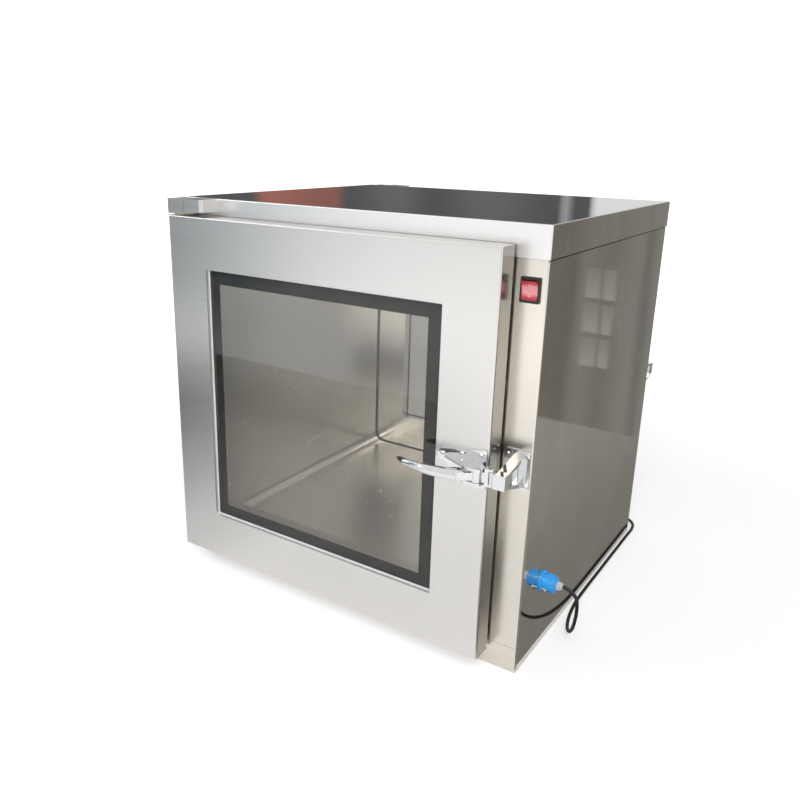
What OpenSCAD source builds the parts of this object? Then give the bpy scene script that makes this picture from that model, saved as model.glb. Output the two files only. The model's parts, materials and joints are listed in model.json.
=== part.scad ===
// Cleanroom pass box: a through chamber between two windowed doors, each closed by a
// lever latch, in a cabinet of folded stainless sheet.
// The origin is the centre of the footprint on the floor. The front door faces -Y, the
// doors hinge on the -X side, +Z is up. The rear door is the front door mirrored in Y.

/* [Cabinet] */
// Depth between the front and rear frame sheets
cabinet_depth = 505; // [480:5:640]
// Thickness of the stainless sheet
sheet = 1.2; // [1:0.1:1.5]
// Height of the folded skirt around the cap
cap_skirt = 40; // [30:1:40]
// Height of the band folded up from the base pan
base_band = 36.6; // [30:0.2:40]
// Gap between the cap's skirt and the sheets it slips over
cap_clearance = 0.2; // [0.1:0.1:0.5]
// Outer bend radius of the cap and of the face sheets' upright edges
sheet_bend = 2; // [2:0.5:3]
// Height of the dark seam under the cap's skirt
cap_seam = 1.5; // [1:0.5:2]

/* [Chamber] */
// Clear width of the chamber
chamber_width = 500; // [440:5:560]
// Clear height of the chamber
chamber_height = 500; // [460:5:560]
// Height of the chamber floor above the ground
chamber_floor_z = 50; // [50:1:52]
// Width of the wall on the hinge side of the chamber
hinge_wall = 23; // [23:1:26]
// Width of the wall on the latch side of the chamber
latch_wall = 67; // [67:1:74]
// Height from the chamber's ceiling to the top of the cap
top_space = 50; // [50:1:56]
// Radius of the coved chamber corners
chamber_cove = 20; // [12:1:25]

/* [Doors] */
// How far a door laps over the chamber opening on each side
door_overlap = 25; // [24.5:0.5:25]
// Thickness of a door
door_thickness = 32; // [32:1:36]
// Gap between a door and the frame, filled by the gasket
door_gap = 5; // [5:0.5:6]
// Outer bend radius of the door skin
door_bend = 3; // [2:0.5:4]
// Width of metal between the door's edge and the window opening
window_margin = 75; // [74:1:90]
// Depth of the folded edge around the window opening
glass_recess = 6; // [5:0.5:8]
// Thickness of the door glass
glass_thickness = 5; // [4:1:6]
// Width of glass held behind the folded edge
glass_lap = 15; // [10:1:18]
// Visible black border on the hinge side of the window
border_hinge_side = 18; // [15:1:25]
// Visible black border on the latch side of the window
border_latch_side = 24; // [15:1:25]
// Visible black border along the top of the window
border_top = 22; // [15:1:25]
// Visible black border along the bottom of the window
border_bottom = 18; // [15:1:25]
// Width of the door gasket
gasket_width = 8; // [6:1:9]

/* [Hinges] */
// Diameter of a hinge pin
hinge_pin_d = 8; // [6:1:9]
// Distance from the door's side edge to the hinge pin
hinge_pin_inset = 11; // [10.5:0.5:11]
// Length of the top hinge bracket along the cap
top_bracket_length = 72; // [60:1:90]

/* [Latch] */
// Height of the latch above the ground
latch_z = 300; // [200:1:420]
// Diameter of the lever's grip at its thick end
grip_d = 15; // [12:0.5:15]
// Diameter of the latch roller
roller_d = 12; // [11:0.5:12]
// Height of the lever's hub
hub_height = 14.4; // [12:0.2:14.8]
// Diameter of the lever's pivot pin
pivot_d = 6; // [4:0.5:7]

/* [Switch] */
// Width of the switch bezel
bezel_width = 25.5; // [24:0.5:27]
// Height of the switch bezel
bezel_height = 31; // [29:0.5:32]
// Distance from the switch's centre to the right side of the cabinet
switch_side = 20.6; // [19:0.1:22]
// Distance from the switch's centre to the top of the cabinet
switch_drop = 77; // [70:0.5:110]
// Angle that the rocker tips through
rocker_travel = 14; // [10:1:16]

/* [Mains] */
// Distance from the mains inlet to the front frame
inlet_from_front = 75.5; // [60:0.5:120]
// Height of the mains inlet above the ground
inlet_z = 106; // [95:1:150]
// Diameter of the connector's barrel
barrel_d = 26; // [24:0.5:28]
// Length of the connector's barrel
barrel_length = 21.5; // [20:0.5:26]
// Diameter of the mains lead
cord_d = 5; // [5:0.5:5]

/* [Lamp] */
// Length of the germicidal tube between its caps
tube_length = 288; // [212:1:288]
// Diameter of the germicidal tube
tube_d = 16; // [15:1:16]

/* [Interlock] */
// Height of the interlock shaft above the ground
interlock_z = 400; // [360:5:440]
// Diameter of the interlock shaft
shaft_d = 10; // [8:1:10]
// Diameter of a catch stud's head
stud_head_d = 10; // [9:1:10]

/* [Hidden] */
$fn = 48;
eps = 0.5;
fit = 0.1;

cabinet_width = hinge_wall + chamber_width + latch_wall;
cabinet_height = chamber_floor_z + chamber_height + top_space;
half_w = cabinet_width / 2;
half_d = cabinet_depth / 2;
frame_top = cabinet_height - sheet;
skirt_z0 = cabinet_height - cap_skirt;
face_z0 = base_band + 0.4;
face_z1 = skirt_z0 - cap_seam;
face_corner_r = 3;
face_return = 2 * sheet_bend;
seam_lap = 3;
chamber_x0 = -half_w + hinge_wall;
chamber_x1 = chamber_x0 + chamber_width;
chamber_xm = (chamber_x0 + chamber_x1) / 2;
chamber_z0 = chamber_floor_z;
chamber_z1 = chamber_z0 + chamber_height;

door_x0 = chamber_x0 - door_overlap;
door_x1 = chamber_x1 + door_overlap;
door_z0 = chamber_z0 - door_overlap;
door_z1 = chamber_z1 + door_overlap;
door_back = -half_d - door_gap;
door_front = door_back - door_thickness;
window_x0 = door_x0 + window_margin;
window_x1 = door_x1 - window_margin;
window_z0 = door_z0 + window_margin;
window_z1 = door_z1 - window_margin;
seal_thickness = 0.8;
seal_lip = 2;
glass_front = door_front + glass_recess + seal_thickness;
glass_back = glass_front + glass_thickness;
border_thickness = 0.4;
border_back = glass_back + border_thickness;
pan_lip = 4;
pan_window_lap = 2;
gasket_inset = 16;
gasket_squeeze = 0.3;

pin_x = door_x0 + hinge_pin_inset;
pin_y = door_back - door_thickness / 2;
bush_d = hinge_pin_d + 4;
bush_bore = hinge_pin_d + 2 * fit;
bush_flange_d = hinge_pin_d + 10;
bush_length = 14;
bush_flange = 1;
hinge_pad_d = 21;
hinge_pad_h = 12;
top_bracket_z0 = door_z1 + 2.5;
bottom_bracket_t = 3.5;
bottom_bracket_x = [8, 36];

// Latch points are measured from the door's latch edge: [along +X, out from the door].
pivot_at = [-6, 19];
roller_at = [13.5, 15];
roller_reach = norm(roller_at - pivot_at);
roller_angle = atan2(pivot_at[1] - roller_at[1], roller_at[0] - pivot_at[0]);
lug_inner = hub_height / 2 + 0.3;
lug_t = 3;
lug_outer = lug_inner + lug_t;
lug_r = 9.5;
fork_start = lug_r + 0.7;
fork_width = 9.2;
fork_half_h = 11.5;
arm_half_h = hub_height / 2 - 0.6;
roller_half_h = 8.5;
roller_pin_d = 4;
// The grip's centreline, as [along, out, share of the grip's thickness].
grip_path = [[-26, 34, 1], [-40, 36.5, 1.02], [-57, 38.5, 0.97], [-70, 39.2, 0.86], [-85, 38.5, 0.68],
    [-99, 35.5, 0.53], [-110, 30.9, 0.41]];
grip_end = [[-112.3, 29.7, 0.33], [-113.6, 28.9, 0.17]];
grip_sides = 20;
tip_from = [-97, 35.6];
tip_slope = 24;
wing = [[-70, 3], [-70, 12], [-66, 16], [-2, 27], [-2, -26], [-30, -26], [-35, -21], [-40, -9]];
wing_t = 3;
latch_screws = [[-63, 9.8], [-36, 15.5], [-9, 19.5], [-20, -19.5]];
strike_from = 5;
strike_width = 35;
strike_z = [-30, 22];
strike_t = 3;
strike_arm_x = [roller_at[0] + 7, roller_at[0] + 20.5];
strike_screws = [[10, -24], [10, 15], [37, -24], [37, 15]];
nose_half_h = 9.5;
nose_wall = 4.5;
strike_screw_d = 5;

rail_depth = 40;
rail_offset = 130;
rail_length_gap = 2;

switch_x = half_w - switch_side;
switch_z = cabinet_height - switch_drop;
switch_body_w = bezel_width - 3.8;
switch_body_h = bezel_height - 3.2;
switch_body_depth = 26;
bezel_t = 2.2;
rocker_w = bezel_width - 6;
rocker_h = bezel_height - 8;
rocker_gap = 0.4;
rocker_pin_d = 3;
rocker_pin_reach = 0.9;

inlet_y = -half_d + inlet_from_front;
flange_d = barrel_d + 5;
flange_t = 2.5;
inlet_depth = 23;
barrel_x0 = half_w + flange_t;
barrel_x1 = barrel_x0 + barrel_length - flange_t;
gland_length = 8;
slide_w = 8;
slide_length = 8.5;
slide_sunk = 2;
slide_travel = 3;
latch_turn = 38;
cord_grip = 6;
gland_x1 = barrel_x1 + gland_length;
gland_d = 13;
cord_r = cord_d / 2;

batten_w = 30;
batten_h = 22;
batten_length = tube_length + 42;
tube_z = chamber_z1 - batten_h - 12;
cap_length = 12;
holder_t = 10;
ballast_x1 = chamber_x1 - 52;
ballast_y = -40;
ballast_length = 116;
ballast_w = 32;
ballast_h = 24;
ballast_foot = [12, 4];
ballast_foot_t = 2;

shaft_x = door_x1 + 19;
stud_x = door_x1 - 7.5;
stud_neck_d = 6;
stud_reach = 15;
stud_head_t = 3;
hook_t = 3;
hook_gap = 0.8;
hook_clear = 0.8;
hook_bar = 12;
hook_hub_wall = 5;
hook_end = 8;
slot_height = 7.2;
slot_shift = 1.4;
bearing_offset = 120;
bearing_length = 16;
bearing_wall = [4, 6];

coil_centre = [200, half_d + 82];
coil_mid_r = 5.5 * cord_d;
coil_wall = 3 * cord_d;
coil_height = 2 * cord_d + 2 * fit;
coil_outer_r = coil_mid_r + coil_wall / 2;
// The lead runs into and out of the coil's outer turn, along this line.
coil_lane = coil_centre[1] - coil_outer_r + cord_r;
coil_entry = sqrt(pow(coil_outer_r, 2) - pow(coil_outer_r - cord_d, 2)) + fit;
tie_w = 6;
tie_t = 1.2;
relief_length = 30;
plug_at = [coil_centre[0] - coil_entry - relief_length, coil_lane];
plug_w = 28;
plug_h = 22;
plug_length = 36;
blade_z = 16.7;
blade_spacing = 12.7;
earth_drop = 11.9;

// The lead's route from the connector to the coil, as round numbers measured from
// [the cabinet's right side, the inlet, the ground].
cord_points = [
    [33, 0, 0], [41, 0, -2.7], [48, 1, -10], [50.5, 2, -20], [50, 5, -36], [47, 11, -54],
    [42, 20, -72], [34, 34, -88], [25, 53, -98], [17, 76, -102.6], [11, 104, -103.4]];
// The stretch on the ground, measured from [the right side, the rear frame].
ground_points = [[7, -290], [6, -240], [6, -170], [6, -100], [6, -30], [6, 5], [1, 27], [-14, 43],
    [-36, 49], [-58, 49.5]];

STEEL = "#c9c7c3";
MIRROR_STEEL = "#8b8882";
CHROME = "#dfe2e4";
RUBBER = "#1c1b1b";
CHARCOAL = "#2d2a2a";
BLUE = "#2f8fd8";

// ---- Helpers ----

module box(from, to) {
    translate(from) cube(to - from);
}

module to_rear() {
    mirror([0, 1, 0]) children();
}

// A rectangle from the origin with round corners of radius r at y = 0 only.
module round_front(w, d, r) {
    translate([r, 0]) square([w - 2 * r, d]);
    translate([0, r]) square([w, d - r]);
    for (x = [r, w - r]) translate([x, r]) circle(r);
}

// A rectangle between two corners with round corners of radius r.
module round_rect(from, to, r) {
    size = to - from;
    translate(from + [r, 0]) square([size[0] - 2 * r, size[1]]);
    translate(from + [0, r]) square([size[0], size[1] - 2 * r]);
    for (x = [from[0] + r, to[0] - r], y = [from[1] + r, to[1] - r])
        translate([x, y]) circle(r);
}

// Stands an X-Z outline up and thickens it from y0 to y1.
module upright(y0, y1) {
    translate([0, y1, 0]) rotate([90, 0, 0]) linear_extrude(y1 - y0) children();
}

// Runs a Y-Z outline along X from x0 to x1.
module along_x(x0, x1) {
    translate([x0, 0, 0]) rotate([90, 0, 90]) linear_extrude(x1 - x0) children();
}

// A block whose four front edges are bent round, as folded sheet is.
module bent_block(from, to, r) {
    size = to - from;
    intersection() {
        translate([from[0], from[1], from[2]]) linear_extrude(size[2]) round_front(size[0], size[1], r);
        along_x(from[0], to[0]) translate([from[1], from[2]])
            mirror([1, -1]) round_front(size[2], size[1], r);
    }
}

// A block whose upright and top edges are bent round, as a folded lid is.
module bent_lid(from, to, r) {
    size = to - from;
    intersection() {
        translate([0, 0, from[2]]) linear_extrude(size[2])
            round_rect([from[0], from[1]], [to[0], to[1]], r);
        along_x(from[0], to[0]) translate([from[1], to[2]])
            mirror([0, 1]) round_front(size[1], size[2], r);
        upright(from[1], to[1]) translate([from[0], to[2]])
            mirror([0, 1]) round_front(size[0], size[2], r);
    }
}

// A rectangular ring between two corners, wall wide inwards.
module ring_2d(from, to, wall, r) {
    difference() {
        round_rect(from, to, r);
        round_rect(from + [wall, wall], to - [wall, wall], max(r - wall, 0.5));
    }
}

module pan_head(d) {
    difference() {
        union() {
            cylinder(d = d, h = d * 0.2);
            translate([0, 0, d * 0.2]) cylinder(d1 = d, d2 = d * 0.7, h = d * 0.14);
        }
        for (a = [0, 90]) rotate(a)
            translate([-d * 0.28, -d * 0.06, d * 0.2]) cube([d * 0.56, d * 0.12, d]);
    }
}

// ---- Cabinet ----

// The plan of a front sheet whose upright edges are bent back to meet the side panels.
module bent_front_2d() translate([-half_w, -half_d]) difference() {
    round_front(cabinet_width, face_return, sheet_bend);
    translate([sheet, sheet]) round_front(cabinet_width - 2 * sheet, face_return, sheet_bend - sheet);
}

module base_pan() color(STEEL) {
    linear_extrude(sheet) round_rect([-half_w, -half_d], [half_w, half_d], sheet_bend);
    for (side = [0, 1]) mirror([0, side, 0]) linear_extrude(base_band) bent_front_2d();
}

module side_sheet() {
    box([half_w - sheet, -half_d + face_return, sheet], [half_w, half_d - face_return, frame_top]);
}

module side_panel_left() color(MIRROR_STEEL) mirror([1, 0, 0]) side_sheet();

module side_panel_right() color(MIRROR_STEEL) difference() {
    side_sheet();
    translate([half_w - sheet - eps, inlet_y, inlet_z]) rotate([0, 90, 0])
        cylinder(d = barrel_d - 1.5, h = sheet + 2 * eps);
}

module top_cap() color(MIRROR_STEEL) {
    out = cap_clearance + sheet;
    difference() {
        bent_lid([-half_w - out, -half_d - out, skirt_z0],
            [half_w + out, half_d + out, cabinet_height], sheet_bend);
        box([-half_w - cap_clearance, -half_d - cap_clearance, skirt_z0 - eps],
            [half_w + cap_clearance, half_d + cap_clearance, frame_top]);
    }
}

// The face sheet around the chamber opening, with a hole for the door's catch stud.
module face_sheet() {
    difference() {
        intersection() {
            translate([0, 0, face_z0]) linear_extrude(face_z1 - face_z0) bent_front_2d();
            upright(-half_d - eps, -half_d + face_return + eps) translate([-half_w, face_z1])
                mirror([0, 1]) round_front(cabinet_width, face_z1 - face_z0 + eps, face_corner_r);
        }
        upright(-half_d - eps, -half_d + sheet + eps) {
            round_rect([chamber_x0, chamber_z0], [chamber_x1, chamber_z1], chamber_cove);
            translate([stud_x, interlock_z]) circle(d = stud_head_d + 2.4);
        }
    }
    // Under the cap's skirt the sheet steps back, which leaves the seam.
    box([-half_w + sheet, -half_d + sheet, face_z1 - seam_lap],
        [half_w - sheet, -half_d + 2 * sheet, frame_top]);
}

module front_frame() color(STEEL) difference() {
    face_sheet();
    box([switch_x - switch_body_w / 2 - fit, -half_d - eps, switch_z - switch_body_h / 2 - fit],
        [switch_x + switch_body_w / 2 + fit, -half_d + sheet + eps, switch_z + switch_body_h / 2 + fit]);
}

module rear_frame() color(STEEL) to_rear() face_sheet();

module chamber_liner() color(STEEL) upright(-half_d + sheet, half_d - sheet) difference() {
    round_rect([chamber_x0 - sheet, chamber_z0 - sheet], [chamber_x1 + sheet, chamber_z1 + sheet],
        chamber_cove + sheet);
    round_rect([chamber_x0, chamber_z0], [chamber_x1, chamber_z1], chamber_cove);
}

// Two hat rails carry the liner's floor on the base pan.
module floor_rails() color(STEEL) {
    top = chamber_z0 - sheet;
    foot = 14;
    for (y = [-rail_offset, rail_offset])
        along_x(-half_w + rail_length_gap, chamber_x1) translate([y, 0]) difference() {
            union() {
                translate([-rail_depth / 2, sheet]) square([rail_depth, top - sheet]);
                translate([-rail_depth / 2 - foot, sheet]) square([rail_depth + 2 * foot, sheet]);
            }
            translate([-rail_depth / 2 + sheet, 0]) square([rail_depth - 2 * sheet, top - sheet]);
        }
}

// ---- Lamp and wiring ----

module uv_batten() color("#e9e9e6") {
    along_x(chamber_xm - batten_length / 2, chamber_xm + batten_length / 2)
        translate([0, chamber_z1]) difference() {
            polygon([[-batten_w / 2, 0], [batten_w / 2, 0], [batten_w / 2, -batten_h * 0.55],
                [batten_w * 0.28, -batten_h], [-batten_w * 0.28, -batten_h],
                [-batten_w / 2, -batten_h * 0.55]]);
            translate([0, -sheet]) polygon([[-batten_w / 2 + sheet, 0], [batten_w / 2 - sheet, 0],
                [batten_w / 2 - sheet, -batten_h * 0.5], [batten_w * 0.24, -batten_h + 2 * sheet],
                [-batten_w * 0.24, -batten_h + 2 * sheet], [-batten_w / 2 + sheet, -batten_h * 0.5]]);
        }
}

module uv_tube() {
    translate([chamber_xm, 0, tube_z]) rotate([0, 90, 0]) {
        color("#eef3f8") cylinder(d = tube_d, h = tube_length - 2 * cap_length, center = true);
        for (side = [-1, 1]) color("#b8b8b8")
            translate([0, 0, side * (tube_length - cap_length) / 2])
                cylinder(d = tube_d + 0.6, h = cap_length, center = true);
    }
}

module uv_lampholders() color("#f2f2ee") for (side = [0, 1])
    translate([chamber_xm, 0, 0]) mirror([side, 0, 0])
        along_x(tube_length / 2 + fit, tube_length / 2 + holder_t) {
            translate([0, tube_z]) circle(d = tube_d + 6);
            translate([-(tube_d + 6) / 2, tube_z]) square([tube_d + 6, chamber_z1 - batten_h - tube_z]);
        }

module uv_ballast() color("#d9d9d4") {
    from = [ballast_x1 - ballast_length, ballast_y - ballast_w / 2];
    to = [ballast_x1, ballast_y + ballast_w / 2];
    translate([0, 0, chamber_z1 + sheet]) {
        linear_extrude(ballast_foot_t) round_rect(from - ballast_foot, to + ballast_foot, 2);
        linear_extrude(ballast_h) round_rect(from, to, 1);
    }
}

loom_d = 6;
loom_z = chamber_z1 + 14;
loom_behind_switch = -half_d + switch_body_depth + loom_d / 2 + fit;
loom_path = [[half_w - inlet_depth, inlet_y, inlet_z], [half_w - inlet_depth - 8, inlet_y, inlet_z + 2],
    [door_x1 + 6, inlet_y, inlet_z + 22], [door_x1 + 4, inlet_y - 6, inlet_z + 80],
    [door_x1 + 4, -half_d + 44, interlock_z], [switch_x - 8, -half_d + 40, switch_z - 30],
    [switch_x - 4, loom_behind_switch, switch_z - 8], [switch_x - 10, -half_d + 48, switch_z + 12],
    [door_x1 - 4, -half_d + 70, loom_z - 6], [chamber_x1 - 4, -half_d + 110, loom_z],
    [ballast_x1 + 22, ballast_y - 8, loom_z], [ballast_x1 + fit, ballast_y, loom_z]];

module wiring_loom() color(RUBBER) {
    swept_tube(smooth(loom_path), loom_d, 8);
}

// ---- Switch ----

module switch_body() color(CHARCOAL) {
    front = -half_d - bezel_t;
    pocket_w = rocker_w + 2 * rocker_gap;
    pocket_h = rocker_h + 1.4;
    translate([switch_x, 0, switch_z]) difference() {
        union() {
            upright(front, -half_d) round_rect([-bezel_width / 2, -bezel_height / 2],
                [bezel_width / 2, bezel_height / 2], 1.5);
            upright(-half_d - eps, -half_d + switch_body_depth)
                translate([-switch_body_w / 2, -switch_body_h / 2])
                    square([switch_body_w, switch_body_h]);
        }
        upright(front - eps, -half_d + 9) translate([-pocket_w / 2, -pocket_h / 2])
            square([pocket_w, pocket_h]);
        rocker_axle(rocker_pin_d + 2 * fit, rocker_w / 2 + rocker_pin_reach + fit);
    }
}

// The axle that the rocker tips on, to each side of the switch's centre.
module rocker_axle(d, reach) {
    translate([-reach, -half_d, 0]) rotate([0, 90, 0]) cylinder(d = d, h = 2 * reach);
}

// The rocker rests with its lower half pressed in and has a hollow front face.
module switch_rocker() color("#e2333f") {
    translate([switch_x, 0, switch_z]) rocker_axle(rocker_pin_d, rocker_w / 2 + rocker_pin_reach);
    translate([switch_x, -half_d, switch_z]) rotate([rocker_travel / 2, 0, 0])
        along_x(-rocker_w / 2, rocker_w / 2) difference() {
            translate([-5, -rocker_h / 2]) square([10, rocker_h]);
            translate([-5 - 31.2, 0]) circle(r = 33, $fn = 96);
            for (side = [-1, 1]) translate([5, side * rocker_h / 2]) rotate(45) square(7, center = true);
        }
}

// ---- Mains ----

module power_inlet() color(BLUE) translate([half_w, inlet_y, inlet_z]) rotate([0, 90, 0]) {
    cylinder(d = flange_d, h = flange_t);
    translate([0, 0, -inlet_depth]) cylinder(d = barrel_d - 2, h = inlet_depth + eps);
}

module inlet_screws() color(CHROME) for (side = [-1, 1])
    translate([half_w + flange_t, inlet_y, inlet_z + side * (flange_d / 2 - 1.6)])
        rotate([0, 90, 0]) cylinder(d = 2.6, h = 0.8);

module power_connector() color("#36a2ea")
    translate([barrel_x0, inlet_y, inlet_z]) rotate([0, 90, 0]) difference() {
        length = barrel_x1 - barrel_x0;
        union() {
            cylinder(d = barrel_d - 1.6, h = 3);
            translate([0, 0, 3]) cylinder(d = barrel_d, h = length - 6);
            translate([0, 0, length - 3]) cylinder(d1 = barrel_d, d2 = gland_d + 3, h = 3);
        }
        for (a = [40 : 20 : 320]) rotate(latch_turn + a - 90)
            translate([barrel_d / 2 + 0.4, 0, 6.5]) cylinder(d = 2.4, h = length - 11, $fn = 16);
        rotate(latch_turn) box([-slide_w / 2 - fit, -barrel_d / 2 - 4, -eps],
            [slide_w / 2 + fit, -barrel_d / 2 + slide_sunk + fit, slide_length + slide_travel + 2 * fit]);
    }

// A thumb slide on the barrel's front side frees the twist lock.
module connector_latch() color(CHROME)
    translate([barrel_x0, inlet_y, inlet_z]) rotate([0, 90, 0]) rotate(latch_turn) {
        box([-slide_w / 2, -barrel_d / 2 - 1, fit], [slide_w / 2, -barrel_d / 2 + slide_sunk, slide_length]);
        box([-slide_w / 2, -barrel_d / 2 - 2.6, slide_length - 3],
            [slide_w / 2, -barrel_d / 2, slide_length]);
    }

module cable_gland() color("#d8dadb") translate([barrel_x1, inlet_y, inlet_z]) rotate([0, 90, 0])
    difference() {
        union() {
            cylinder(d = gland_d, h = gland_length - 3, $fn = 6);
            translate([0, 0, gland_length - 3]) cylinder(d1 = gland_d - 2, d2 = cord_d + 3, h = 3);
        }
        translate([0, 0, gland_length - cord_grip]) cylinder(d = cord_d + 2 * fit, h = cord_grip + eps);
    }

// A swept tube: one ring of points square to the route at each point of it.
function unit(v) = v / norm(v);
function tangent(p, i) = unit(p[min(i + 1, len(p) - 1)] - p[max(i - 1, 0)]);
function side_of(t) = unit(cross(t, abs(t[2]) > 0.9 ? [0, 1, 0] : [0, 0, 1]));
function smooth(p) = [for (i = [0 : len(p) - 2], k = [0, 1, 2])
    let (a = p[max(i - 1, 0)], b = p[i], c = p[i + 1], d = p[min(i + 2, len(p) - 1)], u = k / 3)
    0.5 * (2 * b + (c - a) * u + (2 * a - 5 * b + 4 * c - d) * u * u
        + (3 * b - a - 3 * c + d) * u * u * u), p[len(p) - 1]];
function carried(p, i) = i == 0 ? side_of(tangent(p, 0))
    : let (t = tangent(p, i), s = carried(p, i - 1)) unit(s - (s * t) * t);

// The faces that close a stack of rings, numbered from 0 to last, into one solid.
function ring_faces(last, sides) = concat([[for (k = [0 : sides - 1]) k]],
    [for (i = [0 : last - 1], k = [0 : sides - 1])
        let (a = i * sides + k, b = i * sides + (k + 1) % sides) [a, a + sides, b + sides, b]],
    [[for (k = [sides - 1 : -1 : 0]) last * sides + k]]);

module swept_tube(path, d, sides) {
    last = len(path) - 1;
    rings = [for (i = [0 : last])
        let (t = tangent(path, i), s = carried(path, i), u = cross(t, s))
        for (k = [0 : sides - 1])
            path[i] + (d / 2) * (cos(360 * k / sides) * s + sin(360 * k / sides) * u)];
    polyhedron(rings, ring_faces(last, sides), convexity = 10);
}

cord_route = concat([[gland_x1 - cord_grip + fit, inlet_y, inlet_z], [gland_x1, inlet_y, inlet_z]],
    [for (p = cord_points) [half_w + p[0], inlet_y + p[1], max(inlet_z + p[2], cord_r + fit)]],
    [for (p = ground_points) [half_w + p[0], half_d + p[1], cord_r + fit]],
    [[coil_centre[0] + coil_entry, coil_lane, cord_r + fit]]);

module power_cord() color(RUBBER) swept_tube(smooth(cord_route), cord_d, 8);

module cord_coil() color(RUBBER) translate([coil_centre[0], coil_centre[1], 0])
    rotate_extrude($fn = 64) translate([coil_mid_r - coil_wall / 2, 0])
        square([coil_wall, coil_height]);

module cord_tie() color("#3a3a3a") {
    z1 = coil_height;
    side = coil_wall / 2 + 4 * fit;
    translate([coil_centre[0], coil_centre[1] + coil_mid_r, 0]) difference() {
        box([-tie_w / 2, -side - tie_t, z1 - 4], [tie_w / 2, side + tie_t, z1 + tie_t + fit]);
        box([-tie_w, -side, z1 - 5], [tie_w, side, z1 + fit]);
    }
}

// A plug with two flat blades and a round earth pin lies on the ground beside the coil.
module mains_plug() color(RUBBER) translate([plug_at[0], plug_at[1], 0.2]) {
    along_x(-plug_length, 0) round_rect([-plug_w / 2, 0], [plug_w / 2, plug_h], 5);
    translate([0, 0, plug_h / 2]) rotate([0, 90, 0])
        cylinder(d1 = plug_h - 7, d2 = cord_d + 1, h = relief_length);
    for (side = [-1, 1]) translate([-plug_length, side * blade_spacing / 2, blade_z])
        box([-16, -0.75, -3.15], [eps, 0.75, 3.15]);
    translate([-plug_length + eps, 0, blade_z - earth_drop]) rotate([0, -90, 0])
        cylinder(d = 4.8, h = 19);
}

// ---- Interlock ----

// A hook plate, clamped on the shaft, that drops behind the stud's head when the shaft turns.
module hook_arm() {
    y0 = -half_d + sheet + hook_gap;
    reach = shaft_x - stud_x;
    bar_z0 = stud_head_d / 2 + hook_clear;
    slot_half = stud_neck_d / 2 + 1;
    translate([shaft_x, 0, interlock_z]) upright(y0, y0 + hook_t) difference() {
        union() {
            circle(r = shaft_d / 2 + hook_hub_wall);
            translate([-reach - hook_end, bar_z0]) square([reach + hook_end, hook_bar]);
            translate([-shaft_d / 2 - 3, 0]) square([shaft_d / 2 + 3, bar_z0 + hook_bar]);
        }
        circle(d = shaft_d + fit);
        translate([-reach + slot_shift - slot_half, 0])
            square([2 * slot_half, bar_z0 + slot_height]);
    }
}

module interlock_shaft() color("#b9bcc0") {
    end = half_d - sheet - hook_gap;
    translate([shaft_x, end, interlock_z]) rotate([90, 0, 0]) cylinder(d = shaft_d, h = 2 * end);
    hook_arm();
    translate([0, 0, 2 * interlock_z]) mirror([0, 0, 1]) to_rear() hook_arm();
}

module interlock_bearings() color(CHARCOAL) {
    wall = half_w - sheet;
    for (y = [-bearing_offset, bearing_offset]) difference() {
        box([shaft_x - shaft_d / 2 - bearing_wall[0], y - bearing_length / 2,
                interlock_z - shaft_d / 2 - bearing_wall[1]],
            [wall, y + bearing_length / 2, interlock_z + shaft_d / 2 + bearing_wall[1]]);
        translate([shaft_x, y + bearing_length / 2 + eps, interlock_z]) rotate([90, 0, 0])
            cylinder(d = shaft_d + 2 * fit, h = bearing_length + 2 * eps);
    }
}

module catch_stud() color(CHROME) translate([stud_x, door_back, interlock_z]) rotate([-90, 0, 0]) {
    cylinder(d = stud_neck_d, h = stud_reach);
    translate([0, 0, stud_reach - stud_head_t]) cylinder(d = stud_head_d, h = stud_head_t);
    cylinder(d = stud_head_d, h = 1.5);
}

// ---- Hinges ----

module pin_bore(z0, z1, d) {
    translate([pin_x, pin_y, z0]) cylinder(d = d, h = z1 - z0);
}

module hinge_brackets() color(STEEL) {
    skirt = -half_d - cap_clearance - sheet;
    knuckle_x1 = door_x0 + top_bracket_length / 2 - 1.5;
    block_x1 = door_x0 + top_bracket_length;
    block_z0 = top_bracket_z0 + 4.5;
    nose = 6;
    difference() {
        union() {
            box([door_x0, door_front + 1, top_bracket_z0], [knuckle_x1, skirt, cabinet_height - 1]);
            translate([knuckle_x1 - 2, 0, block_z0]) linear_extrude(cabinet_height - block_z0)
                difference() {
                    translate([0, door_front]) square([block_x1 - knuckle_x1 + 2, skirt - door_front]);
                    translate([block_x1 - knuckle_x1 + 2 - nose, door_front - eps])
                        square([nose + eps, nose + eps]);
                }
            translate([block_x1 - nose, door_front + nose, block_z0])
                cylinder(r = nose, h = cabinet_height - block_z0);
        }
        pin_bore(top_bracket_z0 - eps, cabinet_height - 5, hinge_pin_d);
        box([knuckle_x1 - 0.5, door_front - eps, block_z0 - eps],
            [knuckle_x1, door_front + 1.8, cabinet_height + eps]);
    }
    shelf_z1 = door_z0 - bush_flange;
    shelf_z0 = shelf_z1 - bottom_bracket_t;
    difference() {
        union() {
            box([door_x0 + bottom_bracket_x[0], pin_y - 8, shelf_z0],
                [door_x0 + bottom_bracket_x[1], -half_d, shelf_z1]);
            pin_bore(shelf_z0, shelf_z1, 2 * (hinge_pin_inset - 2));
            box([door_x0 + bottom_bracket_x[0], -half_d - bottom_bracket_t, 4],
                [door_x0 + bottom_bracket_x[1], -half_d, shelf_z1]);
        }
        pin_bore(shelf_z0 - eps, shelf_z1 + eps, hinge_pin_d);
    }
}

module hinge_pin_pair() {
    pin_bore(door_z1 - bush_length, cabinet_height - 5, hinge_pin_d);
    pin_bore(door_z0 - bush_flange - bottom_bracket_t, door_z0 + bush_length, hinge_pin_d);
}

module hinge_pins() color(CHROME) {
    hinge_pin_pair();
    to_rear() hinge_pin_pair();
}

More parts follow.
